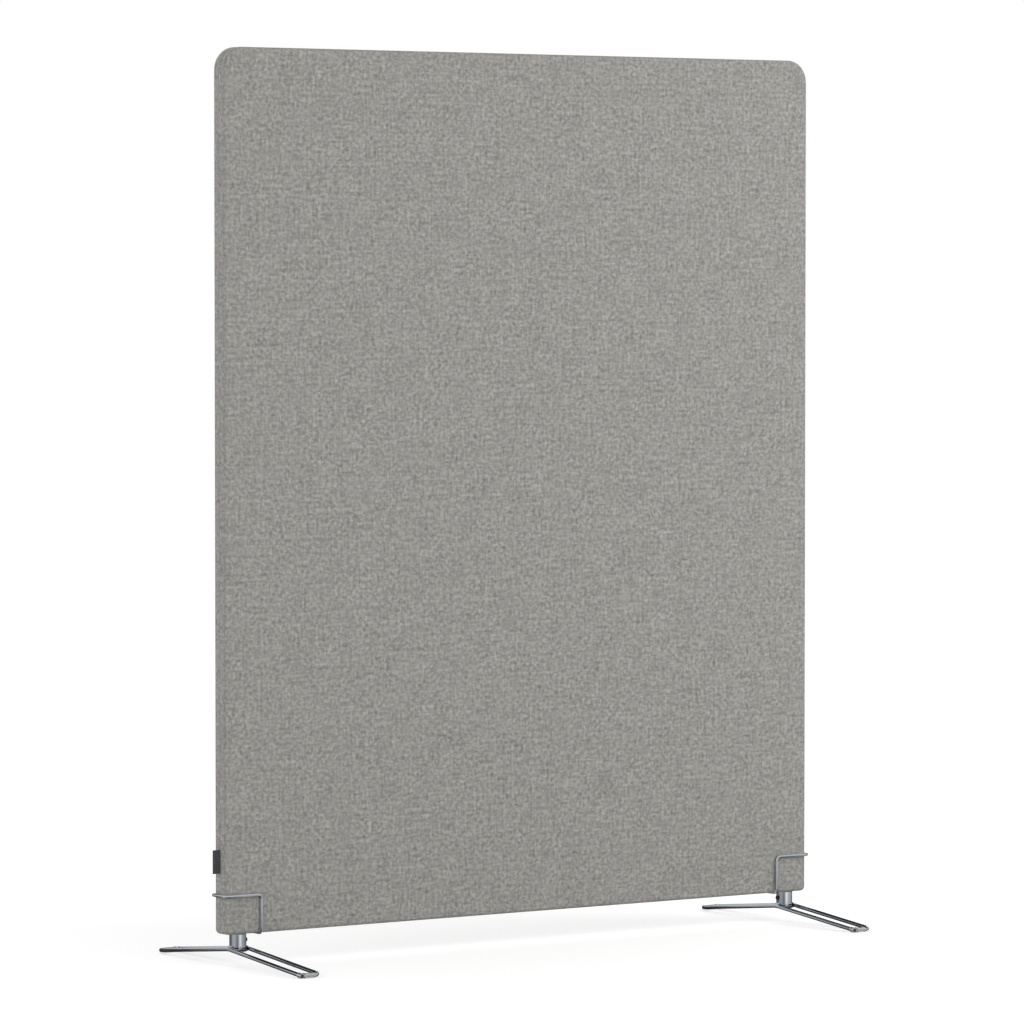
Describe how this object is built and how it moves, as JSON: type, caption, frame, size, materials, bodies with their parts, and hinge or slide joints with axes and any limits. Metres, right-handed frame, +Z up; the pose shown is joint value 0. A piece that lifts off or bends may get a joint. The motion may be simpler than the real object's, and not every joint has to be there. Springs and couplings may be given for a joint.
{
  "type": "acoustic divider screen",
  "caption": "Free-standing fabric-covered acoustic screen with rounded top corners, held by wire edge guards and posts on turning bent-rod feet.",
  "frame": {"origin": "on the floor, under the middle of the panel", "axes": "+X along the panel's width, to the right seen from the front; -Y to the front; +Z up"},
  "size_m": [1.2209, 0.4418, 1.5],
  "materials": {
    "cover_fabric": "warm grey melange plain-weave wool blend",
    "tag_fabric": "charcoal woven tape, folded",
    "padding_felt": "needled white polyester wadding",
    "acoustic_felt": "pressed sound-absorbing fibre slab",
    "frame_timber": "planed pine, unfinished",
    "dowel_beech": "beech dowel, unfinished",
    "zinc_steel": "zinc-plated steel",
    "zinc_plate": "zinc-plated flat steel",
    "bright_steel": "turned bright steel, bare",
    "chromed_wire": "bright chrome on drawn wire",
    "chromed_tube": "bright chrome on tube",
    "chromed_rod": "bright chrome on bent rod",
    "chromed_weld": "chromed weld bead",
    "black_steel": "black oxide screw",
    "black_plastic": "black moulded plug",
    "clear_plastic": "milky clear moulded glide"
  },
  "bodies": {
    "panel": {"bottom_rail": "frame_timber", "left_stile": "frame_timber", "right_stile": "frame_timber", "top_rail": "frame_timber", "middle_rail": "frame_timber", "frame_dowels": "dowel_beech", "lower_core": "acoustic_felt", "upper_core": "acoustic_felt", "front_padding": "padding_felt", "rear_padding": "padding_felt", "front_cover": "cover_fabric", "rear_cover": "cover_fabric", "cover_staples": "zinc_steel", "side_tag": "tag_fabric", "left_edge_guard": "chromed_wire", "left_mounting_plate": "zinc_plate", "left_plate_screws": "zinc_steel", "left_spigot": "bright_steel", "right_edge_guard": "chromed_wire", "right_mounting_plate": "zinc_plate", "right_plate_screws": "zinc_steel", "right_spigot": "bright_steel"},
    "left_foot": {"left_foot_post": "chromed_tube", "left_foot_rods": "chromed_rod", "left_rod_ferrules": "chromed_tube", "left_rod_end_plugs": "black_plastic", "left_foot_glides": "clear_plastic", "left_foot_welds": "chromed_weld"},
    "left_set_screw": {"left_set_screw": "black_steel"},
    "right_foot": {"right_foot_post": "chromed_tube", "right_foot_rods": "chromed_rod", "right_rod_ferrules": "chromed_tube", "right_rod_end_plugs": "black_plastic", "right_foot_glides": "clear_plastic", "right_foot_welds": "chromed_weld"},
    "right_set_screw": {"right_set_screw": "black_steel"}
  },
  "joints": [
    {"name": "left_foot_swivel", "type": "hinge", "parent": "panel", "child": "left_foot", "pos_m": [-0.566, 0, 0.037], "axis": [0, 0, 1], "range_deg": [-90, 90]},
    {"name": "left_screw_travel", "type": "slide", "parent": "left_foot", "child": "left_set_screw", "axis": [1, 0, 0], "range_m": [0, 0.0025]},
    {"name": "right_foot_swivel", "type": "hinge", "parent": "panel", "child": "right_foot", "pos_m": [0.566, 0, 0.037], "axis": [0, 0, 1], "range_deg": [-90, 90]},
    {"name": "right_screw_travel", "type": "slide", "parent": "right_foot", "child": "right_set_screw", "axis": [-1, 0, 0], "range_m": [0, 0.0025]}
  ]
}
